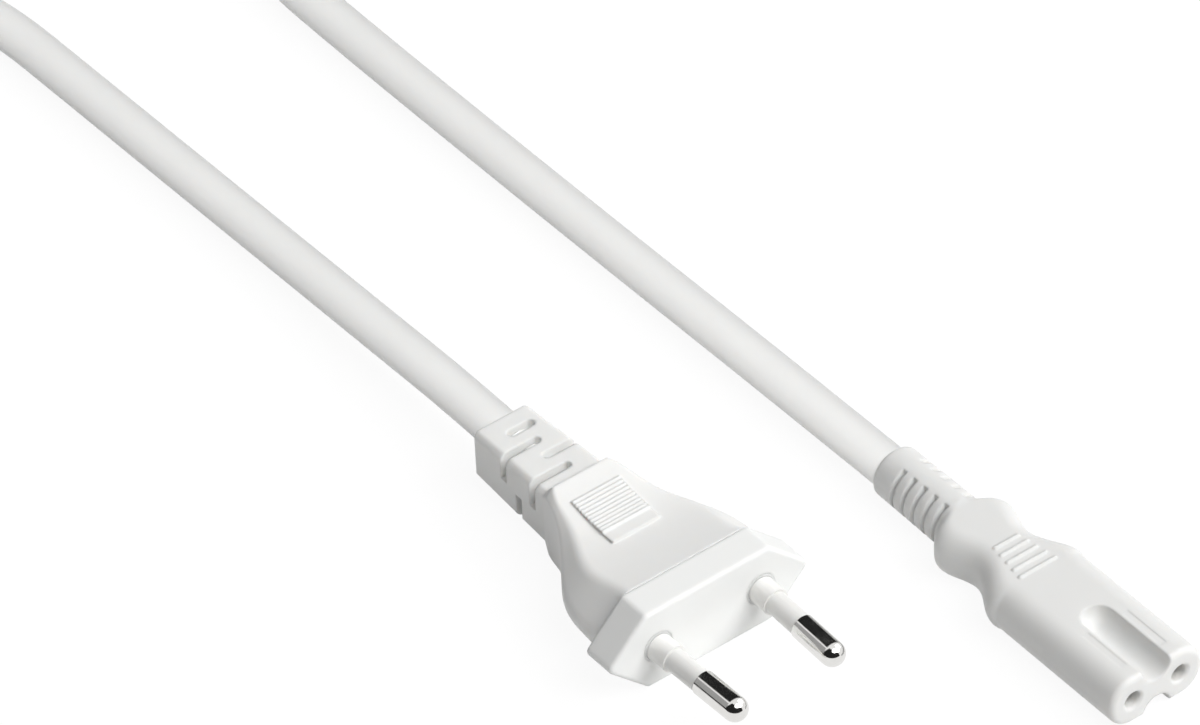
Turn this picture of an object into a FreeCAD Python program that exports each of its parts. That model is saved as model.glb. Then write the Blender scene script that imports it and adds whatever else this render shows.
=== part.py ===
import FreeCAD
import Part
import math
import os
import Sketcher
from FreeCAD import Placement, Rotation, Vector

# Flat two-pin plug on a round mains lead that ends in a two-pole appliance connector.
# X runs along the pins, Y across them and Z up; the plug lies on Z = 0 with its box centred on the origin.
# Places on the plug are counted backwards from its front face, and on the connector from its own.

doc = FreeCAD.newDocument("Europlug")
sheet = doc.addObject("Spreadsheet::Sheet", "Sizes")

# Driving dimensions in millimetres and degrees.
driving = {
    # Pins and their sleeves
    "pin_spacing": 18.6,
    "pin_lean": 1.66,
    "pin_radius": 2.0,
    "pin_reach": 19.0,
    "pin_core_radius": 1.4,
    "pin_well_clearance": 0.35,
    "pin_well_depth": 0.4,
    "pin_tail": 14.0,
    "crimp_radius": 1.7,
    "crimp_length": 5.0,
    "crimp_depth": 4.0,
    "sleeve_reach": 10.0,
    "sleeve_radius": 1.82,
    "sleeve_collar_radius": 2.16,
    "sleeve_collar_reach": 3.6,
    "sleeve_seat": 3.5,
    # Hard front block with its bridge inside the moulding
    "carrier_width": 35.7,
    "carrier_height": 14.1,
    "carrier_side_height": 0.9,
    "carrier_depth": 5.7,
    "carrier_corner": 1.0,
    "carrier_edge": 0.55,
    "bridge_width": 25.0,
    "bridge_height": 7.6,
    "bridge_depth": 4.0,
    # Soft moulding: each station has its width and height, and either its upright side or its bevel
    "seam_width": 31.2,
    "seam_side_height": 4.6,
    "seam_corner": 2.5,
    "hip_back": 11.0,
    "hip_width": 30.7,
    "hip_height": 11.7,
    "hip_side_height": 2.3,
    "hip_corner": 2.4,
    "shoulder_back": 16.7,
    "shoulder_width": 27.2,
    "shoulder_height": 10.1,
    "shoulder_side_height": 2.9,
    "shoulder_corner": 2.4,
    "throat_back": 22.0,
    "throat_width": 19.8,
    "throat_height": 10.5,
    "throat_bevel": 2.3,
    "throat_corner": 2.0,
    "nape_back": 26.5,
    "nape_width": 14.7,
    "nape_height": 12.2,
    "nape_bevel": 1.05,
    "nape_corner": 0.9,
    "ridge_back": 30.0,
    "ridge_width": 12.6,
    "ridge_bevel": 1.4,
    "ridge_corner": 0.8,
    # Slotted strain relief of the plug
    "root_back": 31.6,
    "root_width": 11.4,
    "root_height": 10.2,
    "root_bevel": 0.8,
    "root_corner": 0.8,
    "relief_back": 49.2,
    "relief_width": 10.0,
    "relief_height": 8.8,
    "relief_bevel": 0.7,
    "relief_corner": 0.8,
    "relief_edge": 0.5,
    "slot_width": 1.5,
    "slot_pitch": 3.65,
    "slot_back": 34.3,
    "slot_floor": 0.3,
    "slot_past_middle": 1.5,
    "end_slot_from": 1.6,
    "end_slot_to": 3.2,
    # Thumb grips
    "grip_front": 16.7,
    "grip_back": 26.4,
    "grip_width": 8.7,
    "grip_low_back": 19.3,
    "grip_low_height": 5.28,
    "grip_radius": 30.0,
    "grip_sunk": 1.2,
    "grip_rib_radius": 0.33,
    "grip_rib_pitch": 0.7,
    "grip_rib_count": 11,
    # Cord and its cores
    "cord_radius": 3.35,
    "jacket_back": 28.5,
    "core_radius": 1.2,
    "core_spacing": 2.7,
    "strand_radius": 0.55,
    "core_bend_back": 25.0,
    "core_aim_back": 18.5,
    # Put-away coil and its tie
    "coil_ahead": -235.0,
    "coil_aside": 21.0,
    "coil_middle_radius": 36.0,
    "coil_columns": 2,
    "coil_layers": 3,
    "tie_width": 6.0,
    "tie_wall": 0.8,
    # Connector
    "connector_ahead": 49.8,
    "connector_aside": 41.5,
    "lobe_width": 16.7,
    "lobe_height": 8.4,
    "lobe_corner": 3.8,
    "lobe_edge": 0.9,
    "lobe_back": 25.7,
    "flank_back": 30.2,
    "flank_width": 14.3,
    "waist_back": 36.0,
    "waist_width": 11.1,
    "waist_corner": 3.4,
    "bulge_back": 40.8,
    "bulge_width": 13.8,
    "bulge_end_back": 42.2,
    "bulge_end_width": 12.9,
    "step_back": 43.5,
    "step_width": 10.3,
    "neck_back": 44.5,
    "neck_radius": 4.35,
    "tail_back": 59.3,
    "tail_radius": 4.2,
    "tail_edge": 0.6,
    "groove_radius": 2.6,
    "groove_depth": 2.6,
    "groove_back": 15.5,
    "groove_wall": 0.6,
    "flat_start": 3.0,
    "flat_back": 11.5,
    "flat_inner": 3.1,
    "flat_outer": 4.2,
    "flat_depth": 0.05,
    "bar_back": 26.55,
    "bar_pitch": 1.75,
    "bar_count": 5,
    "bar_length": 7.2,
    "bar_taper": 0.54,
    "bar_radius": 0.42,
    "bar_proud": 0.25,
    "ring_back": 45.0,
    "ring_pitch": 2.38,
    "ring_count": 5,
    "ring_width": 0.45,
    "ring_flare": 0.35,
    "ring_floor": 0.25,
    "ring_clearance": 0.3,
    "ring_spine": 3.0,
    "hole_spacing": 8.6,
    "hole_radius": 1.4,
    "hole_rim": 0.35,
    "hole_wall": 2.5,
    "insert_back": 21.0,
    "insert_width": 13.0,
    "insert_height": 3.7,
    "insert_corner": 1.6,
    "socket_back": 13.0,
    "socket_radius": 1.65,
    "socket_bore": 1.2,
    "socket_slit": 0.4,
    "socket_tail": 20.0,
    "socket_crimp_radius": 1.5,
    "connector_jacket_back": 42.0,
    "connector_bend_back": 38.0,
    "connector_aim_back": 26.0,
}
for row, (alias, value) in enumerate(driving.items(), start=1):
    sheet.set(f"A{row}", alias.replace("_", " "))
    sheet.set(f"B{row}", str(value))
    sheet.setAlias(f"B{row}", alias)
doc.recompute()


class Dim:
    # A size: its value, and the formula over the sheet that drives it.
    def __init__(self, value, formula):
        self.value = float(value)
        self.formula = formula

    def __add__(self, other):
        other = as_dim(other)
        return Dim(self.value + other.value, f"({self.formula} + {other.formula})")

    def __sub__(self, other):
        other = as_dim(other)
        return Dim(self.value - other.value, f"({self.formula} - {other.formula})")

    def __mul__(self, other):
        other = as_dim(other)
        return Dim(self.value * other.value, f"({self.formula} * {other.formula})")

    def __truediv__(self, other):
        other = as_dim(other)
        return Dim(self.value / other.value, f"({self.formula} / {other.formula})")

    def __neg__(self):
        return self * -1


def as_dim(number):
    return number if isinstance(number, Dim) else Dim(number, f"({number})")


def size(alias):
    return Dim(sheet.get(alias), f"Sizes.{alias}")


zero = as_dim(0)
root_two = math.sqrt(2)
bend_share = 0.45

# The plug's face stands half of the plug's length ahead of the origin, and the pins at half its height.
face_ahead = (size("relief_back") - size("pin_reach")) / 2
axis_height = size("carrier_height") / 2
connector_ahead = face_ahead + size("connector_ahead")
connector_height = size("lobe_height") / 2 + size("bar_proud")


def drive(item, path, dim):
    item.setExpression(path, dim.formula)


def place(item, ahead, aside, height):
    item.Placement.Base = Vector(ahead.value, aside.value, height.value)
    drive(item, "Placement.Base.x", ahead)
    drive(item, "Placement.Base.y", aside)
    drive(item, "Placement.Base.z", height)


def new_body(label):
    return doc.addObject("PartDesign::Body", label)


def new_sketch(body, name, role, offset=zero):
    # A sketch on one of the body's own planes, moved along that plane's normal.
    sketch = body.newObject("Sketcher::SketchObject", name)
    plane = next(item for item in body.Origin.OriginFeatures if item.Role == role)
    sketch.AttachmentSupport = [(plane, "")]
    sketch.MapMode = "FlatFace"
    drive(sketch, "AttachmentOffset.Base.z", offset)
    return sketch


def constrain(sketch, dim, kind, *places):
    index = sketch.addConstraint(Sketcher.Constraint(kind, *places, dim.value))
    drive(sketch, f"Constraints[{index}]", dim)


def fix_coordinate(sketch, kind, item, end, dim):
    # Ties one coordinate of a point to the sketch's origin, which is point 1 of item -1.
    if abs(dim.value) < 1e-9:
        axis = -2 if kind == "DistanceX" else -1
        sketch.addConstraint(Sketcher.Constraint("PointOnObject", item, end, axis))
    elif dim.value > 0:
        constrain(sketch, dim, kind, -1, 1, item, end)
    else:
        constrain(sketch, -dim, kind, item, end, -1, 1)


def fix_point(sketch, item, end, across, up):
    fix_coordinate(sketch, "DistanceX", item, end, across)
    fix_coordinate(sketch, "DistanceY", item, end, up)


def polygon(sketch, corners):
    # A closed outline of straight edges through the given (across, up) sizes.
    points = [Vector(across.value, up.value, 0) for across, up in corners]
    count = len(points)
    first = sketch.GeometryCount
    for i in range(count):
        sketch.addGeometry(Part.LineSegment(points[i], points[(i + 1) % count]))
    for i in range(count):
        sketch.addConstraint(Sketcher.Constraint("Coincident", first + i, 2, first + (i + 1) % count, 1))
    for i, (across, up) in enumerate(corners):
        fix_point(sketch, first + i, 1, across, up)


def rounded_loop(sketch, points, turn, radius):
    # Lines between the points with an equal arc at each corner, all turning by the same angle.
    count = len(points)
    cut_back = radius.value * math.tan(turn / 2)
    lines = []
    arcs = []
    for i in range(count):
        way = (points[(i + 1) % count] - points[i]).normalize()
        start = points[i] + way * cut_back
        end = points[(i + 1) % count] - way * cut_back
        inward = Vector(-way.y, way.x, 0)
        circle = Part.Circle(end + inward * radius.value, Vector(0, 0, 1), radius.value)
        from_angle = math.atan2(-inward.y, -inward.x)
        lines.append(Part.LineSegment(start, end))
        arcs.append(Part.ArcOfCircle(circle, from_angle, from_angle + turn))
    sketch.addGeometry(lines + arcs)
    for i in range(count):
        sketch.addConstraint(Sketcher.Constraint("Tangent", i, 2, count + i, 1))
        sketch.addConstraint(Sketcher.Constraint("Tangent", count + i, 2, (i + 1) % count, 1))
    for i in range(1, count):
        sketch.addConstraint(Sketcher.Constraint("Equal", count, count + i))
    constrain(sketch, radius, "Radius", count)


def bevelled_section(body, name, back, width, height, bevel, corner):
    # A flat-topped section whose flanks slope at 45 degrees to upright sides, with round corners.
    half_width = width / 2
    half_height = height / 2
    reach = half_width + half_height - bevel
    w = half_width.value
    h = half_height.value
    side = reach.value - w
    flat = reach.value - h
    upper = [Vector(w, side, 0), Vector(flat, h, 0), Vector(-flat, h, 0), Vector(-w, side, 0)]
    sketch = new_sketch(body, name, "YZ_Plane", -back)
    rounded_loop(sketch, upper + [-point for point in upper], math.pi / 4, corner)
    for line in (1, 5):
        sketch.addConstraint(Sketcher.Constraint("Horizontal", line))
    for line in (3, 7):
        sketch.addConstraint(Sketcher.Constraint("Vertical", line))
    constrain(sketch, half_height, "DistanceY", -1, 1, 1, 1)
    constrain(sketch, half_height, "DistanceY", 5, 1, -1, 1)
    constrain(sketch, half_width, "DistanceX", -1, 1, 7, 1)
    constrain(sketch, half_width, "DistanceX", 3, 1, -1, 1)
    for line, angle in ((0, 135), (2, -135), (4, -45), (6, 45)):
        sketch.addConstraint(Sketcher.Constraint("Angle", line, math.radians(angle)))
        constrain(sketch, reach / root_two, "Distance", -1, 1, line)
    return sketch


def rounded_section(body, name, back, width, height, corner):
    # A rectangle with round corners across the axis.
    half_width = width / 2
    half_height = height / 2
    right = Vector(half_width.value, half_height.value, 0)
    left = Vector(-half_width.value, half_height.value, 0)
    sketch = new_sketch(body, name, "YZ_Plane", -back)
    rounded_loop(sketch, [right, left, -right, -left], math.pi / 2, corner)
    for line in (0, 2):
        sketch.addConstraint(Sketcher.Constraint("Horizontal", line))
    for line in (1, 3):
        sketch.addConstraint(Sketcher.Constraint("Vertical", line))
    constrain(sketch, half_height, "DistanceY", -1, 1, 0, 1)
    constrain(sketch, half_height, "DistanceY", 2, 1, -1, 1)
    constrain(sketch, half_width, "DistanceX", -1, 1, 3, 1)
    constrain(sketch, half_width, "DistanceX", 1, 1, -1, 1)
    return sketch


def loft(body, name, sections, ruled):
    feature = body.newObject("PartDesign::AdditiveLoft", name)
    feature.Profile = sections[0]
    feature.Sections = sections[1:]
    feature.Ruled = ruled
    doc.recompute()
    return feature


def pad(body, name, sketch, length, midplane=False):
    feature = body.newObject("PartDesign::Pad", name)
    feature.Profile = sketch
    feature.Midplane = midplane
    drive(feature, "Length", length)
    doc.recompute()
    return feature


def pocket(body, name, sketch, length, upwards):
    # Cuts along the sketch's normal, or against it, and stops if nothing was cut away.
    before = body.Shape.Volume
    feature = body.newObject("PartDesign::Pocket", name)
    feature.Profile = sketch
    feature.Reversed = upwards
    drive(feature, "Length", length)
    doc.recompute()
    if feature.Shape.Volume >= before:
        raise RuntimeError(f"{name} cuts nothing")
    return feature


def revolve(body, name, sketch, axis):
    feature = body.newObject("PartDesign::Revolution", name)
    feature.Profile = sketch
    feature.ReferenceAxis = (sketch, [axis])
    feature.Angle = 360
    doc.recompute()
    return feature


def round_edges_at(body, name, back, radius):
    # Rounds the edges of the flat end that stands at one station of the axis.
    base = body.Tip
    ends = []
    for number, edge in enumerate(base.Shape.Edges, start=1):
        box = edge.BoundBox
        if abs(box.XMin + back.value) < 1e-4 and abs(box.XMax + back.value) < 1e-4:
            ends.append(f"Edge{number}")
    feature = body.newObject("PartDesign::Fillet", name)
    feature.Base = (base, ends)
    drive(feature, "Radius", radius)
    doc.recompute()
    return feature


def fused(label, items):
    feature = doc.addObject("Part::MultiFuse", label)
    feature.Shapes = items
    return feature


def cut(label, base, tool):
    feature = doc.addObject("Part::Cut", label)
    feature.Base = base
    feature.Tool = tool
    return feature


def shaped(label, shape):
    feature = doc.addObject("Part::Feature", label)
    feature.Shape = shape
    feature.Placement = Placement()
    return feature


def smooth_route(points, label):
    # Straight runs joined by tangent arcs, each of which takes its share of the shorter of its two runs.
    edges = []
    start = points[0]
    radii = []
    for before, here, after in zip(points, points[1:], points[2:]):
        way_in = (here - before).normalize()
        way_out = (after - here).normalize()
        turn = way_in.getAngle(way_out)
        trim = bend_share * min((here - before).Length, (after - here).Length)
        radius = trim / math.tan(turn / 2)
        radii.append(round(radius, 1))
        arc_start = here - way_in * trim
        arc_end = here + way_out * trim
        towards = (way_out - way_in).normalize()
        middle = here + towards * (radius / math.cos(turn / 2) - radius)
        edges.append(Part.LineSegment(start, arc_start).toShape())
        edges.append(Part.Arc(arc_start, middle, arc_end).toShape())
        start = arc_end
    edges.append(Part.LineSegment(start, points[-1]).toShape())
    print(label, "bend radii", radii)
    return Part.Wire(edges)


def tube(route, radius, label):
    start = route.Edges[0]
    way = start.tangentAt(start.FirstParameter)
    circle = Part.Circle(start.valueAt(start.FirstParameter), way, radius)
    solid = route.makePipe(Part.Face(Part.Wire(circle.toShape())))
    expected = math.pi * radius**2 * route.Length
    print(label, f"volume {solid.Volume:.2f}, section times length {expected:.2f}")
    return solid


def make_pin(label, side):
    # A turned pin: round tip, plain shank under the sleeve and a hollow crimp tail.
    body = new_body(label)
    sketch = new_sketch(body, label + "_profile", "XZ_Plane")
    tail = -size("pin_tail")
    crimp_end = tail + size("crimp_length")
    crimp_floor = tail + size("crimp_depth")
    shoulder = size("pin_reach") - size("pin_radius")
    corners = [
        (tail, size("strand_radius")),
        (tail, size("crimp_radius")),
        (crimp_end, size("crimp_radius")),
        (crimp_end, size("pin_core_radius")),
        (size("sleeve_reach"), size("pin_core_radius")),
        (size("sleeve_reach"), size("pin_radius")),
        (shoulder, size("pin_radius")),
        (shoulder, zero),
        (crimp_floor, zero),
        (crimp_floor, size("strand_radius")),
    ]
    polygon(sketch, corners)
    revolve(body, label + "_turning", sketch, "H_Axis")
    tip = new_sketch(body, label + "_tip_profile", "XZ_Plane")
    r = size("pin_radius").value
    s = shoulder.value
    tip.addGeometry(Part.LineSegment(Vector(s, 0, 0), Vector(s + r, 0, 0)))
    tip.addGeometry(Part.ArcOfCircle(Part.Circle(Vector(s, 0, 0), Vector(0, 0, 1), r), 0, math.pi / 2))
    tip.addGeometry(Part.LineSegment(Vector(s, r, 0), Vector(s, 0, 0)))
    for i in range(3):
        tip.addConstraint(Sketcher.Constraint("Coincident", i, 2, (i + 1) % 3, 1))
    tip.addConstraint(Sketcher.Constraint("Coincident", 1, 3, 0, 1))
    tip.addConstraint(Sketcher.Constraint("Horizontal", 0))
    tip.addConstraint(Sketcher.Constraint("Vertical", 2))
    constrain(tip, size("pin_radius"), "Radius", 1)
    fix_point(tip, 0, 1, shoulder, zero)
    revolve(body, label + "_tip", tip, "H_Axis")
    return seat_pin(body, side)


def make_sleeve(label, side):
    # An insulating sleeve with a thicker collar where it leaves the block.
    body = new_body(label)
    sketch = new_sketch(body, label + "_profile", "XZ_Plane")
    corners = [
        (-size("sleeve_seat"), size("pin_core_radius")),
        (-size("sleeve_seat"), size("sleeve_collar_radius")),
        (size("sleeve_collar_reach"), size("sleeve_collar_radius")),
        (size("sleeve_collar_reach"), size("sleeve_radius")),
        (size("sleeve_reach"), size("sleeve_radius")),
        (size("sleeve_reach"), size("pin_core_radius")),
    ]
    polygon(sketch, corners)
    revolve(body, label + "_turning", sketch, "H_Axis")
    return seat_pin(body, side)


def seat_pin(body, side):
    # Stands a pin or sleeve in the face, leaning towards the middle.
    body.Placement.Rotation = Rotation(Vector(0, 0, 1), -side * size("pin_lean").value)
    place(body, face_ahead, size("pin_spacing") / 2 * side, axis_height)
    drive(body, "Placement.Rotation.Angle", -size("pin_lean") * side)
    return body


def make_carrier_form():
    # The hard block: a six-sided plate with round edges, and the bridge behind it.
    body = new_body("carrier_form")
    height = size("carrier_height")
    corner = size("carrier_corner")
    depth = size("carrier_depth")
    bevel = (height - size("carrier_side_height")) / 2
    front = bevelled_section(body, "carrier_front", zero, size("carrier_width"), height, bevel, corner)
    block = pad(body, "carrier_block", front, depth)
    block.Reversed = True
    doc.recompute()
    round_edges_at(body, "carrier_front_edge", zero, size("carrier_edge"))
    round_edges_at(body, "carrier_back_edge", depth, size("carrier_edge") / 2)
    bridge = rounded_section(
        body, "bridge_section", depth, size("bridge_width"), size("bridge_height"), corner
    )
    feature = pad(body, "bridge", bridge, size("bridge_depth"))
    feature.Reversed = True
    place(body, face_ahead, zero, axis_height)
    doc.recompute()
    return body


def make_pin_well(label, side):
    # A shallow clearance round the sleeve where it leaves the face.
    well = doc.addObject("Part::Cylinder", label)
    drive(well, "Radius", size("sleeve_collar_radius") + size("pin_well_clearance"))
    drive(well, "Height", size("pin_well_depth") * 2)
    lean = Rotation(Vector(0, 0, 1), -side * size("pin_lean").value)
    well.Placement.Rotation = lean.multiply(Rotation(Vector(0, 1, 0), 90))
    place(well, face_ahead - size("pin_well_depth"), size("pin_spacing") / 2 * side, axis_height)
    return well


def slot_outline(sketch, middle, half, low, high, ends):
    # A slot across the axis: two long edges, closed by an arc or a straight edge at the low and high ends.
    low_turn = low + half if ends[0] == "round" else low
    high_turn = high - half if ends[1] == "round" else high
    first = sketch.GeometryCount
    right = middle + half
    left = middle - half
    corners = [(right, low_turn), (right, high_turn), (left, high_turn), (left, low_turn)]
    points = [Vector(across.value, up.value, 0) for across, up in corners]
    sketch.addGeometry(Part.LineSegment(points[0], points[1]))
    sketch.addGeometry(Part.LineSegment(points[2], points[3]))
    for i, (across, up) in enumerate(corners):
        fix_point(sketch, first + i // 2, 1 + i % 2, across, up)
    for way, turn, start, end in ((ends[1], high_turn, 1, 2), (ends[0], low_turn, 3, 0)):
        if way == "round":
            centre = Vector(middle.value, turn.value, 0)
            angle = 0 if start == 1 else math.pi
            circle = Part.Circle(centre, Vector(0, 0, 1), half.value)
            item = sketch.addGeometry(Part.ArcOfCircle(circle, angle, angle + math.pi))
            fix_coordinate(sketch, "DistanceY", item, 3, turn)
        else:
            item = sketch.addGeometry(Part.LineSegment(points[start], points[end]))
        sketch.addConstraint(Sketcher.Constraint("Coincident", first + start // 2, 1 + start % 2, item, 1))
        sketch.addConstraint(Sketcher.Constraint("Coincident", item, 2, first + end // 2, 1 + end % 2))


def make_slots(body, side):
    # Slots across the strain relief, open to alternate sides, and one closed slot next to the cord.
    face = "top" if side > 0 else "bottom"
    sketch = new_sketch(body, f"slots_{face}", "XY_Plane", size("slot_floor") * side)
    half = size("slot_width") / 2
    clear = size("root_width")
    spans = [
        (-clear, size("slot_past_middle"), ("open", "round")),
        (-size("slot_past_middle") / 2, clear, ("round", "open")),
        (-clear, size("slot_past_middle"), ("open", "round")),
        (-size("end_slot_from"), size("end_slot_to"), ("round", "round")),
    ]
    for number, (low, high, ends) in enumerate(spans):
        middle = -(size("slot_back") + size("slot_pitch") * number)
        if side > 0:
            slot_outline(sketch, middle, half, low, high, ends)
        else:
            slot_outline(sketch, middle, half, -high, -low, ends[::-1])
    pocket(body, f"slot_cuts_{face}", sketch, size("root_height"), side > 0)


def make_grip(body, side):
    # A ribbed pad that stands on the dished face; its ribs follow the pad's own arc.
    face = "top" if side > 0 else "bottom"
    sketch = new_sketch(body, f"grip_{face}", "XZ_Plane")
    low = -size("grip_low_back")
    radius = size("grip_radius")
    centre = Vector(low.value, side * (size("grip_low_height").value + radius.value), 0)

    def on_arc(back):
        offset = -back.value - low.value
        drop = math.sqrt(radius.value**2 - offset**2)
        return Vector(-back.value, centre.y - side * drop, 0)

    front = on_arc(size("grip_front"))
    rear = on_arc(size("grip_back"))
    sunk = Vector(0, -side * size("grip_sunk").value, 0)
    middle = on_arc((size("grip_front") + size("grip_back")) / 2)
    sketch.addGeometry(Part.Arc(front, middle, rear))
    arc_ends = (1, 2) if (sketch.getPoint(0, 1) - front).Length < 1e-6 else (2, 1)
    sketch.addGeometry(Part.LineSegment(rear, rear + sunk))
    sketch.addGeometry(Part.LineSegment(rear + sunk, front + sunk))
    sketch.addGeometry(Part.LineSegment(front + sunk, front))
    sketch.addConstraint(Sketcher.Constraint("Coincident", 0, arc_ends[1], 1, 1))
    sketch.addConstraint(Sketcher.Constraint("Coincident", 1, 2, 2, 1))
    sketch.addConstraint(Sketcher.Constraint("Coincident", 2, 2, 3, 1))
    sketch.addConstraint(Sketcher.Constraint("Coincident", 3, 2, 0, arc_ends[0]))
    sketch.addConstraint(Sketcher.Constraint("Vertical", 1))
    sketch.addConstraint(Sketcher.Constraint("Vertical", 3))
    constrain(sketch, size("grip_sunk"), "Distance", 1)
    constrain(sketch, size("grip_sunk"), "Distance", 3)
    constrain(sketch, radius, "Radius", 0)
    fix_point(sketch, 0, 3, low, (size("grip_low_height") + radius) * side)
    constrain(sketch, size("grip_front"), "DistanceX", 3, 2, -1, 1)
    constrain(sketch, size("grip_back"), "DistanceX", 1, 1, -1, 1)
    pad(body, f"grip_pad_{face}", sketch, size("grip_width"), midplane=True)

    rib = new_sketch(body, f"grip_rib_{face}", "XZ_Plane")
    drive(rib, "AttachmentOffset.Base.x", low)
    drive(rib, "AttachmentOffset.Base.y", (size("grip_low_height") + radius) * side)
    rib_centre = Vector(0, -side * radius.value, 0)
    rib.addGeometry(Part.Circle(rib_centre, Vector(0, 0, 1), size("grip_rib_radius").value))
    constrain(rib, size("grip_rib_radius"), "Radius", 0)
    fix_point(rib, 0, 3, zero, -radius * side)
    bar = pad(body, f"grip_bar_{face}", rib, size("grip_width"), midplane=True)
    pattern = body.newObject("PartDesign::PolarPattern", f"grip_bars_{face}")
    pattern.Originals = [bar]
    pattern.Axis = (rib, ["N_Axis"])
    pattern.Reversed = side > 0
    steps = size("grip_rib_count") - 1
    drive(pattern, "Occurrences", size("grip_rib_count"))
    drive(pattern, "Angle", size("grip_rib_pitch") * steps / radius * (180 / math.pi))
    body.Tip = pattern
    doc.recompute()


def make_moulding_form():
    # The soft body: swelling hips behind the block, a dished waist, a finger ridge and the strain relief.
    body = new_body("moulding_form")
    height = size("carrier_height")

    def station(name, tall):
        if name + "_side_height" in driving:
            bevel = (tall - size(name + "_side_height")) / 2
        else:
            bevel = size(name + "_bevel")
        back = size("carrier_depth") if name == "seam" else size(name + "_back")
        return bevelled_section(
            body, name + "_section", back, size(name + "_width"), tall, bevel, size(name + "_corner")
        )

    sections = [station("seam", height)]
    for name in ("hip", "shoulder", "throat", "nape"):
        sections.append(station(name, size(name + "_height")))
    ridge = station("ridge", height)
    root = station("root", size("root_height"))
    end = station("relief", size("relief_height"))
    loft(body, "hand_grip", sections + [ridge], False)
    loft(body, "ridge_slope", [ridge, root], True)
    loft(body, "strain_relief", [root, end], True)
    round_edges_at(body, "relief_end_edge", size("relief_back"), size("relief_edge"))
    for side in (1, -1):
        make_grip(body, side)
        make_slots(body, side)
    place(body, face_ahead, zero, axis_height)
    doc.recompute()
    return body


def make_core(label, route_points, bare_end):
    # One insulated core: its sleeve along the route, and the strands that run on into the crimp.
    route = smooth_route(route_points, label)
    strand_route = smooth_route(route_points[:-1] + [bare_end], label)
    radius = size("core_radius").value
    strands = tube(strand_route, size("strand_radius").value, label + " strands")
    sleeve = tube(route, radius, label + " sleeve").cut(strands)
    return shaped(label + "_core", sleeve), shaped(label + "_strands", strands)


def plug_core(label, side):
    lean = math.radians(size("pin_lean").value)
    pin_foot = Vector(face_ahead.value, side * size("pin_spacing").value / 2, axis_height.value)
    along = Vector(-math.cos(lean), side * math.sin(lean), 0)
    tail = pin_foot + along * size("pin_tail").value
    crimp_floor = tail - along * size("crimp_depth").value

    def point(back, aside):
        return Vector(face_ahead.value - size(back).value, side * aside, axis_height.value)

    start_aside = size("core_spacing").value / 2
    aim = pin_foot + along * size("core_aim_back").value
    points = [point("jacket_back", start_aside), point("core_bend_back", start_aside), aim, tail]
    return make_core(label, points, crimp_floor)


def connector_core(label, side):
    start_aside = size("core_spacing").value / 2
    aside = size("hole_spacing").value / 2

    def point(back, across):
        return Vector(
            connector_ahead.value - size(back).value,
            size("connector_aside").value + side * across,
            connector_height.value,
        )

    points = [
        point("connector_jacket_back", start_aside),
        point("connector_bend_back", start_aside),
        point("connector_aim_back", aside),
        point("socket_tail", aside),
    ]
    crimp_floor = points[-1] + Vector(size("crimp_depth").value, 0, 0)
    return make_core(label, points, crimp_floor)


def cord_route(points, label):
    # A route is given from the plug's face along X, across and above the surface it lies on.
    return smooth_route([Vector(face_ahead.value + x, y, z) for x, y, z in points], label)


def make_coil_form():
    # The outer shape of the coiled turns: a ring with round edges.
    body = new_body("coil_form")
    half = size("coil_columns") * size("cord_radius")
    tall = size("coil_layers") * size("cord_radius") * 2
    inner = size("coil_middle_radius") - half
    outer = size("coil_middle_radius") + half
    low_left = Vector(inner.value, 0, 0)
    low_right = Vector(outer.value, 0, 0)
    lift = Vector(0, tall.value, 0)
    sketch = new_sketch(body, "coil_section", "XZ_Plane")
    rounded_loop(
        sketch, [low_left, low_right, low_right + lift, low_left + lift], math.pi / 2, size("cord_radius")
    )
    for line in (0, 2):
        sketch.addConstraint(Sketcher.Constraint("Horizontal", line))
    for line in (1, 3):
        sketch.addConstraint(Sketcher.Constraint("Vertical", line))
    sketch.addConstraint(Sketcher.Constraint("PointOnObject", 0, 1, -1))
    constrain(sketch, tall, "DistanceY", -1, 1, 2, 1)
    constrain(sketch, outer, "DistanceX", -1, 1, 1, 1)
    constrain(sketch, inner, "DistanceX", -1, 1, 3, 1)
    revolve(body, "coil_ring", sketch, "V_Axis")
    place(body, face_ahead + size("coil_ahead"), size("coil_aside"), zero)
    doc.recompute()
    return body


def make_tie():
    # A flat band round the bundle of turns, on the side away from the plug.
    half = size("coil_columns") * size("cord_radius")
    tall = size("coil_layers") * size("cord_radius") * 2
    wall = size("tie_wall")
    middle = face_ahead + size("coil_ahead") - size("coil_middle_radius")
    band = doc.addObject("Part::Box", "tie_outside")
    drive(band, "Length", (half + wall) * 2)
    drive(band, "Width", size("tie_width"))
    drive(band, "Height", tall + wall)
    place(band, middle - half - wall, size("coil_aside") - size("tie_width") / 2, zero)
    gap = doc.addObject("Part::Box", "tie_inside")
    drive(gap, "Length", half * 2)
    drive(gap, "Width", size("tie_width"))
    drive(gap, "Height", tall - wall)
    place(gap, middle - half, size("coil_aside") - size("tie_width") / 2, wall)
    return cut("coil_tie", band, gap)


def cylinder(label, radius, height, ahead, aside, up):
    # A cylinder along X that starts at the given point of the connector.
    feature = doc.addObject("Part::Cylinder", label)
    drive(feature, "Radius", radius)
    drive(feature, "Height", height)
    feature.Placement.Rotation = Rotation(Vector(0, 1, 0), 90)
    place(feature, ahead, aside, up)
    return feature


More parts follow.
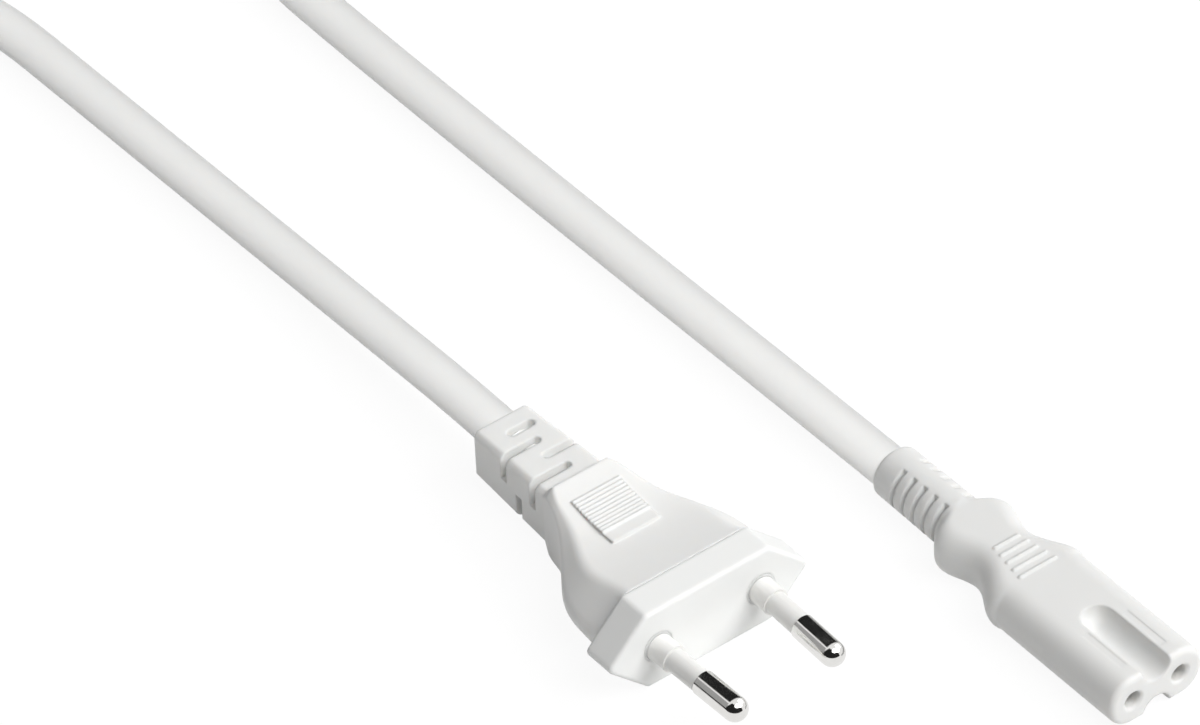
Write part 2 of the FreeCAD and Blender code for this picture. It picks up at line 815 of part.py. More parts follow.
def make_bar(body, number):
    # A grip bar with round ends, sunk in the top so that only its back shows.
    half_length = (size("bar_length") - size("bar_taper") * number) / 2
    ahead = -(size("bar_back") + size("bar_pitch") * number)
    radius = size("bar_radius")
    level = size("lobe_height") / 2 + size("bar_proud") - radius
    sketch = new_sketch(body, f"bar_outline_{number}", "XY_Plane", level)
    x = ahead.value
    r = radius.value
    far = half_length.value
    up = Vector(0, 0, 1)
    sketch.addGeometry(Part.LineSegment(Vector(x, -far, 0), Vector(x, far, 0)))
    sketch.addGeometry(Part.ArcOfCircle(Part.Circle(Vector(x, far - r, 0), up, r), 0, math.pi / 2))
    sketch.addGeometry(Part.ArcOfCircle(Part.Circle(Vector(x, r - far, 0), up, r), -math.pi / 2, 0))
    sketch.addGeometry(Part.LineSegment(Vector(x + r, r - far, 0), Vector(x + r, far - r, 0)))
    fix_point(sketch, 0, 1, ahead, -half_length)
    fix_point(sketch, 0, 2, ahead, half_length)
    sketch.addConstraint(Sketcher.Constraint("Coincident", 1, 2, 0, 2))
    sketch.addConstraint(Sketcher.Constraint("Coincident", 2, 1, 0, 1))
    sketch.addConstraint(Sketcher.Constraint("Tangent", 3, 2, 1, 1))
    sketch.addConstraint(Sketcher.Constraint("Tangent", 2, 2, 3, 1))
    sketch.addConstraint(Sketcher.Constraint("PointOnObject", 1, 3, 0))
    sketch.addConstraint(Sketcher.Constraint("PointOnObject", 2, 3, 0))
    sketch.addConstraint(Sketcher.Constraint("Equal", 1, 2))
    constrain(sketch, radius, "Radius", 1)
    return revolve(body, f"bar_{number}", sketch, "Edge1")


def make_connector_form():
    # Soft connector body: two lobes in front, a pinched waist, a finger bulge and a round tail.
    body = new_body("connector_form")
    height = size("lobe_height")
    corner = size("lobe_corner")
    width = size("lobe_width")
    waist_corner = size("waist_corner")
    nearly_round = 0.97

    def round_section(name, back, radius):
        return rounded_section(body, name, back, radius * 2, radius * 2, radius * nearly_round)

    front = rounded_section(body, "lobe_front", zero, width, height, corner)
    back = rounded_section(body, "lobe_back_section", size("lobe_back"), width, height, corner)
    stations = [back]
    for name, station_corner in (
        ("flank", corner), ("waist", waist_corner), ("bulge", waist_corner), ("bulge_end", waist_corner),
        ("step", corner),
    ):
        stations.append(rounded_section(
            body, name + "_section", size(name + "_back"), size(name + "_width"), height, station_corner
        ))
    neck = round_section("neck_section", size("neck_back"), size("neck_radius"))
    tail = round_section("tail_section", size("tail_back"), size("tail_radius"))
    loft(body, "lobes", [front, back], True)
    loft(body, "waist_and_bulge", stations + [neck], False)
    loft(body, "round_tail", [neck, tail], True)
    round_edges_at(body, "lobe_front_edge", zero, size("lobe_edge"))
    round_edges_at(body, "tail_end_edge", size("tail_back"), size("tail_edge"))
    bars = [make_bar(body, number) for number in range(int(size("bar_count").value))]
    mirror = body.newObject("PartDesign::Mirrored", "bars_below")
    mirror.Originals = bars
    plane = next(item for item in body.Origin.OriginFeatures if item.Role == "XY_Plane")
    mirror.MirrorPlane = (plane, [""])
    body.Tip = mirror
    place(body, connector_ahead, size("connector_aside"), connector_height)
    doc.recompute()
    return body


def make_connector_cuts():
    # Everything that is cut out of the connector: the grooves, the pin holes and the rings of the tail.
    aside = size("connector_aside")
    tools = []
    for side, name in ((1, "top"), (-1, "bottom")):
        up = connector_height + height_of_groove() * side
        back = connector_ahead - size("groove_back") + size("groove_radius")
        length = size("groove_back")
        tools.append(cylinder(f"groove_{name}", size("groove_radius"), length, back, aside, up))
        ball = doc.addObject("Part::Sphere", f"groove_end_{name}")
        drive(ball, "Radius", size("groove_radius"))
        place(ball, back, aside, up)
        tools.append(ball)
    for side, name in ((1, "left"), (-1, "right")):
        across = aside + size("hole_spacing") / 2 * side
        wall = size("hole_wall")
        start = connector_ahead - wall
        tools.append(cylinder(f"hole_{name}", size("hole_radius"), wall, start, across, connector_height))
        rim = doc.addObject("Part::Cone", f"hole_rim_{name}")
        drive(rim, "Radius1", size("hole_radius"))
        drive(rim, "Radius2", size("hole_radius") + size("hole_rim"))
        drive(rim, "Height", size("hole_rim"))
        rim.Placement.Rotation = Rotation(Vector(0, 1, 0), 90)
        place(rim, connector_ahead - size("hole_rim"), across, connector_height)
        tools.append(rim)
    for face, name in ((1, "top"), (-1, "bottom")):
        for side in (1, -1):
            tools.append(lobe_flat(f"flat_{name}_{'left' if side > 0 else 'right'}", face, side))
    tools.append(cut("ring_slots", make_ring_cutter(), make_ring_spine()))
    return tools


def make_ring_cutter():
    # Rings with sloping sides, which leave soft ribs round the tail.
    body = new_body("ring_cutter")
    sketch = new_sketch(body, "ring_profile", "XZ_Plane")
    inner = size("cord_radius") + size("ring_floor")
    outer = size("neck_radius") + size("ring_clearance")
    for number in range(int(size("ring_count").value)):
        front = -(size("ring_back") + size("ring_pitch") * number)
        back = front - size("ring_width")
        polygon(sketch, [
            (front, inner),
            (front + size("ring_flare"), outer),
            (back - size("ring_flare"), outer),
            (back, inner),
        ])
    revolve(body, "ring_turning", sketch, "H_Axis")
    place(body, connector_ahead, size("connector_aside"), connector_height)
    doc.recompute()
    return body


def make_ring_spine():
    # The band along the top and bottom of the tail that the rings leave whole.
    reach = size("ring_pitch") * (size("ring_count") + 1)
    tall = (size("neck_radius") + size("ring_clearance")) * 2
    spine = doc.addObject("Part::Box", "ring_spine_box")
    drive(spine, "Length", reach)
    drive(spine, "Width", size("ring_spine"))
    drive(spine, "Height", tall)
    back = size("ring_back") + size("ring_pitch") * size("ring_count")
    place(
        spine, connector_ahead - back, size("connector_aside") - size("ring_spine") / 2,
        connector_height - tall / 2,
    )
    return spine


def lobe_flat(label, face, side):
    # A shallow flat pressed into the top or bottom of a lobe, beside the groove.
    flat = doc.addObject("Part::Box", label)
    depth = size("flat_depth") * 2
    width = size("flat_outer") - size("flat_inner")
    drive(flat, "Length", size("flat_back") - size("flat_start"))
    drive(flat, "Width", width)
    drive(flat, "Height", depth)
    middle = (size("flat_outer") + size("flat_inner")) / 2 * side
    surface = connector_height + size("lobe_height") / 2 * face
    place(
        flat, connector_ahead - size("flat_back"), size("connector_aside") + middle - width / 2,
        surface - depth / 2,
    )
    return flat


def height_of_groove():
    # The groove's axis stands above the lobes, so that it bites to its depth.
    return size("lobe_height") / 2 + size("groove_radius") - size("groove_depth")


def groove_room(name, side):
    # The groove with the soft wall under it, which the hard insert keeps clear of.
    reach = size("groove_back") + size("groove_wall")
    return cylinder(
        f"groove_room_{name}", size("groove_radius") + size("groove_wall"), reach,
        connector_ahead - reach, size("connector_aside"), connector_height + height_of_groove() * side,
    )


def make_insert_form():
    # The hard insert behind the connector's front wall, hollowed above and below by the grooves.
    body = new_body("insert_whole")
    section = rounded_section(
        body, "insert_section", size("hole_wall"), size("insert_width"), size("insert_height"),
        size("insert_corner"),
    )
    feature = pad(body, "insert_block", section, size("insert_back") - size("hole_wall"))
    feature.Reversed = True
    place(body, connector_ahead, size("connector_aside"), connector_height)
    doc.recompute()
    rooms = fused("groove_rooms", [groove_room("top", 1), groove_room("bottom", -1)])
    return cut("insert_form", body, rooms)


def make_socket(label, side):
    # A split tubular contact with a crimp tail.
    body = new_body(label)
    sketch = new_sketch(body, label + "_profile", "XZ_Plane")
    mouth = -size("hole_wall")
    tail = -size("socket_tail")
    floor = tail + size("crimp_depth")
    corners = [
        (tail, size("strand_radius")),
        (tail, size("socket_crimp_radius")),
        (-size("socket_back"), size("socket_crimp_radius")),
        (-size("socket_back"), size("socket_radius")),
        (mouth, size("socket_radius")),
        (mouth, size("socket_bore")),
        (-size("socket_back"), size("socket_bore")),
        (-size("socket_back"), zero),
        (floor, zero),
        (floor, size("strand_radius")),
    ]
    polygon(sketch, corners)
    revolve(body, label + "_tube", sketch, "H_Axis")
    slit = new_sketch(body, label + "_slit_profile", "XY_Plane")
    half = size("socket_slit") / 2
    polygon(slit, [
        (-size("socket_back"), -half),
        (mouth, -half),
        (mouth, half),
        (-size("socket_back"), half),
    ])
    pocket(body, label + "_slit", slit, size("socket_radius"), True)
    place(body, connector_ahead, size("connector_aside") + size("hole_spacing") / 2 * side, connector_height)
    doc.recompute()
    return body


sides = {"left": 1, "right": -1}
wires = {"live": 1, "neutral": -1}

pins = [make_pin(name + "_pin", side) for name, side in sides.items()]
sleeves = [make_sleeve(name + "_pin_sleeve", side) for name, side in sides.items()]
plug_wiring = []
for name, side in wires.items():
    plug_wiring += plug_core("plug_" + name, side)

# The cord lies straight where it shows, and bends into and out of the coil beyond that.
floor = size("cord_radius").value
plug_exit = axis_height.value
connector_exit = connector_height.value
jacket = -size("jacket_back").value
connector_jacket = size("connector_ahead").value - size("connector_jacket_back").value
connector_across = size("connector_aside").value
plug_run_points = [
    (jacket, 0, plug_exit),
    (-41, 0, plug_exit),
    (-66, 1.6, plug_exit - 0.5),
    (-106, 2.5, floor + 0.3),
    (-150, 1.5, floor),
    (-185, 0.6, floor),
    (-207, -7.0, floor + 0.9),
    (-226, -16.0, floor + 1.8),
]
connector_run_points = [
    (-229, 56.0, floor + 11.8),
    (-208, 54.0, floor + 9.5),
    (-188, 46.0, floor + 3.4),
    (-163, 40.5, floor),
    (-125, 40.4, floor),
    (-76, 40.8, floor + 0.2),
    (-32, connector_across, connector_exit),
    (connector_jacket, connector_across, connector_exit),
]
coil_form = make_coil_form()
tie = make_tie()
coil = cut("cord_coil", coil_form, tie)
runs = []
for label, points in (("cord_plug_run", plug_run_points), ("cord_connector_run", connector_run_points)):
    whole = shaped(label + "_whole", tube(cord_route(points, label), floor, label))
    runs.append(cut(label, whole, coil_form))

carrier_form = make_carrier_form()
wells = [make_pin_well(name + "_pin_well", side) for name, side in sides.items()]
carrier = cut("pin_carrier", carrier_form, fused("pins_and_sleeves", pins + sleeves + wells))
moulding = cut(
    "plug_moulding",
    make_moulding_form(),
    fused("plug_inside", [carrier_form] + pins + plug_wiring + [runs[0]]),
)

sockets = [make_socket(name + "_socket", side) for name, side in sides.items()]
connector_wiring = []
for name, side in wires.items():
    connector_wiring += connector_core("connector_" + name, side)
insert_form = make_insert_form()
socket_room = []
for name, side in sides.items():
    across = size("connector_aside") + size("hole_spacing") / 2 * side
    for room, radius, front, back in (
        ("_socket_room", "socket_radius", "hole_wall", "socket_back"),
        ("_tail_room", "socket_crimp_radius", "socket_back", "socket_tail"),
    ):
        length = size(back) - size(front)
        start = connector_ahead - size(back)
        socket_room.append(cylinder(name + room, size(radius), length, start, across, connector_height))
insert = cut("contact_carrier", insert_form, fused("insert_inside", socket_room + connector_wiring))
connector = cut(
    "connector_moulding",
    make_connector_form(),
    fused("connector_inside", make_connector_cuts() + [insert_form] + connector_wiring + [runs[1]]),
)
doc.recompute()

sub_parts = [moulding, carrier, coil, tie, connector, insert]
sub_parts += pins + sleeves + plug_wiring + runs + sockets + connector_wiring

# Nothing is written unless every feature and every sub-part is sound.
failed = [item.Name for item in doc.Objects if {"Invalid", "Error"} & set(item.State)]
for item in sub_parts:
    if item.Shape.isNull() or not item.Shape.isValid():
        failed.append(item.Label)
if failed:
    raise RuntimeError(f"these did not build: {failed}")

os.makedirs("parts", exist_ok=True)
for item in sub_parts:
    item.Shape.exportStep(f"parts/{item.Label}.step")
    box = item.Shape.BoundBox
    print(f"{item.Label}: {len(item.Shape.Solids)} solid, {item.Shape.Volume:.1f} mm3, "
          f"x {box.XMin:.2f} {box.XMax:.2f} y {box.YMin:.2f} {box.YMax:.2f} z {box.ZMin:.2f} {box.ZMax:.2f}")
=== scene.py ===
import bpy
import bmesh
from math import cos, pi, radians, sin
from mathutils import Matrix, Vector


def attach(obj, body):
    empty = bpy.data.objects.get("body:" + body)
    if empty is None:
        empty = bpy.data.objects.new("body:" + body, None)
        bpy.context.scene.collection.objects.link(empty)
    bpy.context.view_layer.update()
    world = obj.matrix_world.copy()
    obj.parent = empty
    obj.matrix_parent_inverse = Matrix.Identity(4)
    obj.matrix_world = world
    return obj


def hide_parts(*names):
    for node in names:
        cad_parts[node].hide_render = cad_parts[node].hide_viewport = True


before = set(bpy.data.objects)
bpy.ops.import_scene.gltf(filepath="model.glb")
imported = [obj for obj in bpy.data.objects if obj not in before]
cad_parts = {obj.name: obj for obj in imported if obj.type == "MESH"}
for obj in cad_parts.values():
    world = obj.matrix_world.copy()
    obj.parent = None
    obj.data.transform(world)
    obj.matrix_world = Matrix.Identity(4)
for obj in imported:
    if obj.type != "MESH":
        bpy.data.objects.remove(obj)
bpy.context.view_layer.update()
scene = bpy.context.scene
scene.view_settings.view_transform = "Standard"
mm = 0.001
faceAhead = 15.1  # the plug's front face, from the frame's origin
axisHeight = 7.05  # the pins' height above the table
print("frame loaded:", len(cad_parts), "nodes")

# camera: a long lens, so the view is nearly parallel
shot = {
    "azimuth": -35.819,
    "elevation": 41.946,
    "roll": -2.765,
    "distance": 1428.28,
    "slideRight": 15.660,
    "slideUp": -36.418,
    "lens": 300,
    "sensorWidth": 36,
    "clipStart": 0.05,
}


def aimCamera(shot):
    az = radians(shot["azimuth"])
    el = radians(shot["elevation"])
    back = Vector((cos(el) * cos(az), cos(el) * sin(az), sin(el)))
    flatRight = Vector((0, 0, 1)).cross(back).normalized()
    turn = Matrix.Rotation(radians(shot["roll"]), 3, back)
    right = turn @ flatRight
    up = turn @ back.cross(flatRight)
    spot = back * shot["distance"] - right * shot["slideRight"] - up * shot["slideUp"]
    spot += Vector((faceAhead, 0, axisHeight))
    eye = bpy.data.objects.new("productCamera", bpy.data.cameras.new("productCamera"))
    eye.data.lens = shot["lens"]
    eye.data.sensor_width = shot["sensorWidth"]
    eye.data.clip_start = shot["clipStart"]
    scene.collection.objects.link(eye)
    eye.matrix_world = Matrix.Translation(spot * mm) @ Matrix((right, up, back)).transposed().to_4x4()
    scene.camera = eye


aimCamera(shot)
print("camera aimed")

# cord: one spline from inside the plug's strain relief, round the coil and back to the connector
cordLook = {
    "radius": 3.35,
    "length": 1.5,  # metres
    "exitBack": 49.2,  # the end of the plug's strain relief, behind the front face
    "plugEnd": [
        (-29, 0, axisHeight), (-42, 0.9, 7.1), (-62, 1.35, 6.8), (-80, 1.6, 5.7), (-112, 2.2, 3.6),
        (-150, 1.46, 3.35), (-185, 0.66, 3.35), (-211, -11, 3.4),
    ],
    "connectorEnd": [
        (-210, 54.5, 13.8), (-190, 47, 8.2), (-165, 40.6, 3.5), (-140, 40.3, 3.35), (-84, 40.75, 3.5),
        (-32, 41.15, 4.4), (7.7, 41.5, 4.45),
    ],
    "coilCentre": (-235, 21),
    "turns": [(39.35, 3.35), (32.65, 3.35), (32.65, 10.05), (39.35, 10.05), (36, 15.85)],
    "lastTurn": 0.5,
    "leadShare": 0.25,  # the end of each turn that leads over to the next
    "pointsPerTurn": 16,
    "splineSteps": 12,
    "roundSteps": 8,
}


def coilPoints(look):
    centreX, centreY = look["coilCentre"]
    step = 2 * pi / look["pointsPerTurn"]
    swell = 1 / (0.75 + 0.25 * cos(step))  # the spline runs inside its control points by this much
    count = round((len(look["turns"]) - 1 + look["lastTurn"]) * look["pointsPerTurn"])
    points = []
    for i in range(count + 1):
        place = i / look["pointsPerTurn"]
        number = min(int(place), len(look["turns"]) - 1)
        r, z = look["turns"][number]
        share = max(0, (place - number - 1) / look["leadShare"] + 1)
        if number + 1 < len(look["turns"]) and share:
            rNext, zNext = look["turns"][number + 1]
            r += (rNext - r) * share
            z += (zNext - z) * share
        a = -pi / 2 - i * step
        points.append((centreX + r * swell * cos(a), centreY + r * swell * sin(a), z))
    return points


def makeCord(look):
    route = look["plugEnd"] + coilPoints(look) + look["connectorEnd"]
    curve = bpy.data.curves.new("mainsCord", "CURVE")
    curve.dimensions = "3D"
    line = curve.splines.new("NURBS")
    line.points.add(len(route) - 1)
    for point, (x, y, z) in zip(line.points, route):
        point.co = ((faceAhead + x) * mm, y * mm, z * mm, 1)
        point.radius = look["radius"] * mm
    line.order_u = 3
    line.use_endpoint_u = True
    line.resolution_u = look["splineSteps"]
    curve.bevel_depth = 1  # each point's radius is the cord's own
    curve.bevel_resolution = look["roundSteps"]
    curve.use_fill_caps = True
    cord = bpy.data.objects.new("mainsCord", curve)
    scene.collection.objects.link(cord)
    return cord


cord = makeCord(cordLook)
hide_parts("cord_plug_run", "cord_coil", "cord_connector_run")
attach(cord, "root")
print("cord laid")

# tie: a flat strip pulled round the bundle, its two ends twisted together
tieLook = {
    "spot": (-271, 21),  # where the strip crosses the middle of the turns
    "width": 5.0,
    "wall": 0.7,
    "corners": [  # across the bundle, height and how far the strip is rounded there
        (-7.05, 0, 3.6), (7.05, 0, 3.6), (7.05, 11.1, 0.9), (0, 23.1, 6.1), (-7.05, 11.1, 0.9),
    ],
    "roundSteps": 8,
    "sharpFrom": 40,
    "twist": {
        "start": (-8.6, -1.5, 8.0),
        "lean": 5,
        "length": 15.0,
        "turns": 2.5,
        "steps": 50,
        "strand": (2.0, 0.75),  # width and thickness
        "apart": 0.05,
    },
}


def addTieBand(bm, look):
    corners = [bm.verts.new((x, 0, z)) for x, z, r in look["corners"]]
    bm.faces.new(corners)
    for corner, (x, z, r) in zip(corners, look["corners"]):
        bmesh.ops.bevel(
            bm, geom=[corner], offset=r, offset_type="OFFSET", affect="VERTICES",
            segments=look["roundSteps"], profile=0.5, material=-1,
        )
    bmesh.ops.translate(bm, vec=(0, -look["width"] / 2, 0), verts=bm.verts)
    bmesh.ops.delete(bm, geom=bm.faces[:], context="FACES_ONLY")
    strip = bmesh.ops.extrude_edge_only(bm, edges=bm.edges[:])["geom"]
    far = [item for item in strip if isinstance(item, bmesh.types.BMVert)]
    bmesh.ops.translate(bm, vec=(0, look["width"], 0), verts=far)
    bmesh.ops.recalc_face_normals(bm, faces=bm.faces)
    bmesh.ops.solidify(bm, geom=bm.faces[:], thickness=-look["wall"])


def addTieTwist(bm, twist):
    # two flat strands wound round one axis, which leans in to follow the turns
    wide, thick = twist["strand"]
    start = Vector(twist["start"])
    along = Vector((sin(radians(twist["lean"])), cos(radians(twist["lean"])), 0))
    for side in (-1, 1):
        inner = side * twist["apart"]
        outer = side * (twist["apart"] + thick)
        ends = [(-wide / 2, inner), (wide / 2, inner), (wide / 2, outer), (-wide / 2, outer)]
        corners = [bm.verts.new(start + Vector((x, 0, z))) for x, z in ends]
        section = bm.faces.new(corners)
        bmesh.ops.spin(
            bm, geom=corners + section.edges[:] + [section], cent=start, axis=along,
            dvec=along * twist["length"] / twist["steps"], angle=twist["turns"] * 2 * pi,
            steps=twist["steps"], use_merge=False,
        )
    bmesh.ops.holes_fill(bm, edges=[edge for edge in bm.edges if edge.is_boundary])  # the strands' first ends


def makeTie(look):
    mesh = bpy.data.meshes.new("coilTie")
    bm = bmesh.new()
    addTieBand(bm, look)
    addTieTwist(bm, look["twist"])
    bmesh.ops.recalc_face_normals(bm, faces=bm.faces)
    x, y = look["spot"]
    bmesh.ops.translate(bm, vec=(faceAhead + x, y, 0), verts=bm.verts)
    bmesh.ops.scale(bm, vec=(mm, mm, mm), verts=bm.verts)
    bm.to_mesh(mesh)
    bm.free()
    for face in mesh.polygons:
        face.use_smooth = True
    mesh.set_sharp_from_angle(angle=radians(look["sharpFrom"]))
    tie = bpy.data.objects.new("coilTie", mesh)
    scene.collection.objects.link(tie)
    return tie


tie = makeTie(tieLook)
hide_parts("coil_tie")
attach(tie, "root")
print("tie wrapped")

# lips: the thin rings of block that close round the roots of the sleeves
lipLook = {
    "halfSpacing": 9.3,
    "lean": 1.66,
    "profile": [(-0.38, 2.17), (-0.38, 2.5), (-0.03, 2.5), (0.03, 2.34), (0.12, 2.17)],  # ahead, radius
    "steps": 48,
    "mergeWithin": 0.001,
    "sharpFrom": 60,
}


def addLip(bm, side, look):
    before = set(bm.verts)
    corners = [bm.verts.new((ahead, 0, radius)) for ahead, radius in look["profile"]]
    section = bm.faces.new(corners)
    bmesh.ops.spin(
        bm, geom=corners + section.edges[:] + [section], cent=(0, 0, 0), axis=(1, 0, 0), angle=2 * pi,
        steps=look["steps"], use_merge=True,
    )
    ring = [vert for vert in bm.verts if vert not in before]
    seat = Matrix.Translation((faceAhead, side * look["halfSpacing"], axisHeight))
    lean = Matrix.Rotation(radians(-side * look["lean"]), 4, "Z")
    bmesh.ops.transform(bm, matrix=seat @ lean, verts=ring)


def makeLips(look):
    mesh = bpy.data.meshes.new("pinLips")
    bm = bmesh.new()
    for side in (1, -1):
        addLip(bm, side, look)
    bmesh.ops.remove_doubles(bm, verts=bm.verts, dist=look["mergeWithin"])
    sections = [face for face in bm.faces if len(face.verts) == len(look["profile"])]
    bmesh.ops.delete(bm, geom=sections, context="FACES_ONLY")  # the spun section stays inside the ring
    bmesh.ops.recalc_face_normals(bm, faces=bm.faces)
    bmesh.ops.scale(bm, vec=(mm, mm, mm), verts=bm.verts)
    bm.to_mesh(mesh)
    bm.free()
    for face in mesh.polygons:
        face.use_smooth = True
    mesh.set_sharp_from_angle(angle=radians(look["sharpFrom"]))
    lips = bpy.data.objects.new("pinLips", mesh)
    scene.collection.objects.link(lips)
    return lips


lips = makeLips(lipLook)
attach(lips, "root")
print("lips made")


# mould texture that all the plastics share
skinLook = {
    "mottleScale": 110,
    "mottleDetail": 3,
    "grainDetail": 2,
}


def newGroup(name, inputs, outputs):
    group = bpy.data.node_groups.new(name, "ShaderNodeTree")
    for label, kind, value in inputs:
        socket = group.interface.new_socket(label, in_out="INPUT", socket_type=kind)
        if value is not None:
            socket.default_value = value
    for label, kind in outputs:
        group.interface.new_socket(label, in_out="OUTPUT", socket_type=kind)
    return group, group.nodes.new("NodeGroupInput"), group.nodes.new("NodeGroupOutput")


def makeMouldedGroup(look):
    # spark-eroded mould texture: slow mottle in colour and gloss, fine grain in height
    group, put, out = newGroup(
        "mouldedSkin",
        [
            ("Vector", "NodeSocketVector", None),
            ("Colour", "NodeSocketColor", (0.8, 0.8, 0.8, 1)),
            ("Mottle", "NodeSocketFloat", 0.03),
            ("Roughness", "NodeSocketFloat", 0.45),
            ("Gloss Drift", "NodeSocketFloat", 0.1),
            ("Grain Scale", "NodeSocketFloat", 3500),
        ],
        [("Colour", "NodeSocketColor"), ("Roughness", "NodeSocketFloat"), ("Height", "NodeSocketFloat")],
    )
    nodes = group.nodes
    link = group.links.new
    slow = nodes.new("ShaderNodeTexNoise")
    slow.inputs["Scale"].default_value = look["mottleScale"]
    slow.inputs["Detail"].default_value = look["mottleDetail"]
    link(put.outputs["Vector"], slow.inputs["Vector"])
    fine = nodes.new("ShaderNodeTexNoise")
    fine.inputs["Detail"].default_value = look["grainDetail"]
    link(put.outputs["Vector"], fine.inputs["Vector"])
    link(put.outputs["Grain Scale"], fine.inputs["Scale"])
    centred = nodes.new("ShaderNodeMath")
    centred.operation = "SUBTRACT"
    centred.inputs[1].default_value = 0.5
    link(slow.outputs["Fac"], centred.inputs[0])
    tone = nodes.new("ShaderNodeMath")
    tone.operation = "MULTIPLY_ADD"
    tone.inputs[2].default_value = 1
    link(centred.outputs[0], tone.inputs[0])
    link(put.outputs["Mottle"], tone.inputs[1])
    tinted = nodes.new("ShaderNodeVectorMath")
    tinted.operation = "SCALE"
    link(put.outputs["Colour"], tinted.inputs[0])
    link(tone.outputs[0], tinted.inputs["Scale"])
    link(tinted.outputs[0], out.inputs["Colour"])
    gloss = nodes.new("ShaderNodeMath")
    gloss.operation = "MULTIPLY_ADD"
    link(centred.outputs[0], gloss.inputs[0])
    link(put.outputs["Gloss Drift"], gloss.inputs[1])
    link(put.outputs["Roughness"], gloss.inputs[2])
    link(gloss.outputs[0], out.inputs["Roughness"])
    link(fine.outputs["Fac"], out.inputs["Height"])
    return group


mouldedSkin = makeMouldedGroup(skinLook)
print("shader groups made")


def newMaterial(name):
    material = bpy.data.materials.new(name)
    material.use_nodes = True
    tree = material.node_tree
    return material, tree.nodes, tree.links.new, tree.nodes["Principled BSDF"]


plasticLook = {  # what all the plastics have alike
    "grainDepth": 0.02,
    "edgeSamples": 6,
    "glowReach": (1, 0.9, 0.8),  # how far red, green and blue travel
}


def mouldedPlastic(name, look):
    material, nodes, link, surface = newMaterial(name)
    where = nodes.new("ShaderNodeTexCoord")
    skin = nodes.new("ShaderNodeGroup")
    skin.node_tree = mouldedSkin
    skin.inputs["Colour"].default_value = (*look["colour"], 1)
    skin.inputs["Mottle"].default_value = look["mottle"]
    skin.inputs["Roughness"].default_value = look["roughness"]
    skin.inputs["Gloss Drift"].default_value = look["glossDrift"]
    skin.inputs["Grain Scale"].default_value = look["grainScale"]
    link(where.outputs["Object"], skin.inputs["Vector"])
    link(skin.outputs["Colour"], surface.inputs["Base Color"])
    link(skin.outputs["Roughness"], surface.inputs["Roughness"])
    bump = nodes.new("ShaderNodeBump")
    bump.inputs["Strength"].default_value = look["grain"]
    bump.inputs["Distance"].default_value = plasticLook["grainDepth"] * mm
    link(skin.outputs["Height"], bump.inputs["Height"])
    if look.get("softEdge"):
        edge = nodes.new("ShaderNodeBevel")
        edge.samples = plasticLook["edgeSamples"]
        edge.inputs["Radius"].default_value = look["softEdge"] * mm
        link(edge.outputs["Normal"], bump.inputs["Normal"])
    link(bump.outputs["Normal"], surface.inputs["Normal"])
    surface.inputs["Specular IOR Level"].default_value = look["specular"]
    surface.inputs["Subsurface Weight"].default_value = look["glow"]
    surface.inputs["Subsurface Radius"].default_value = plasticLook["glowReach"]
    surface.inputs["Subsurface Scale"].default_value = look["glowDepth"] * mm
    return material


softPvc = {
    "colour": (0.83, 0.83, 0.816), "mottle": 0.03, "roughness": 0.5, "glossDrift": 0.12, "grainScale": 3200,
    "grain": 0.25, "softEdge": 0.6, "specular": 0.35, "glow": 0.35, "glowDepth": 1.4,
}
# the plug's PVC made darker for the connector: partly a greyer moulding, partly painted shade on the
# connector
connectorPvc = dict(softPvc, colour=(0.74, 0.74, 0.728))
hardBlock = {
    "colour": (0.845, 0.85, 0.838), "mottle": 0.02, "roughness": 0.6, "glossDrift": 0.1, "grainScale": 4200,
    "grain": 0.15, "softEdge": 0.8, "specular": 0.2, "glow": 0.1, "glowDepth": 0.6,
}
pinSleeve = {
    "colour": (0.80, 0.795, 0.775), "mottle": 0.03, "roughness": 0.4, "glossDrift": 0.1, "grainScale": 4200,
    "grain": 0.12, "softEdge": 0.15, "specular": 0.4, "glow": 0.15, "glowDepth": 0.6,
}
jacketSkin = {
    "colour": (0.83, 0.83, 0.818), "mottle": 0.02, "roughness": 0.45, "glossDrift": 0.1, "grainScale": 2400,
    "grain": 0.2, "specular": 0.35, "glow": 0.3, "glowDepth": 1.0,
}
coreBrown = {
    "colour": (0.16, 0.07, 0.035), "mottle": 0.05, "roughness": 0.4, "glossDrift": 0.1, "grainScale": 2400,
    "grain": 0.2, "specular": 0.4, "glow": 0.0, "glowDepth": 0.6,
}
coreBlue = dict(coreBrown, colour=(0.03, 0.12, 0.42))
stripWhite = dict(jacketSkin, colour=(0.78, 0.78, 0.77), roughness=0.55)
plastics = {
    "softPvc": mouldedPlastic("softPvc", softPvc),
    "connectorPvc": mouldedPlastic("connectorPvc", connectorPvc),
    "hardBlock": mouldedPlastic("hardBlock", hardBlock),
    "pinSleeve": mouldedPlastic("pinSleeve", pinSleeve),
    "jacketSkin": mouldedPlastic("jacketSkin", jacketSkin),
    "coreBrown": mouldedPlastic("coreBrown", coreBrown),
    "coreBlue": mouldedPlastic("coreBlue", coreBlue),
    "stripWhite": mouldedPlastic("stripWhite", stripWhite),
}


metalLook = {  # what all the metals have alike
    "lineLength": 60,
    "lineDetail": 2,
    "lineStrength": 0.06,
    "lineDepth": 0.01,
    "patchScale": 500,
    "patchDetail": 4,
    "patchRange": (0.5, 0.8),
}


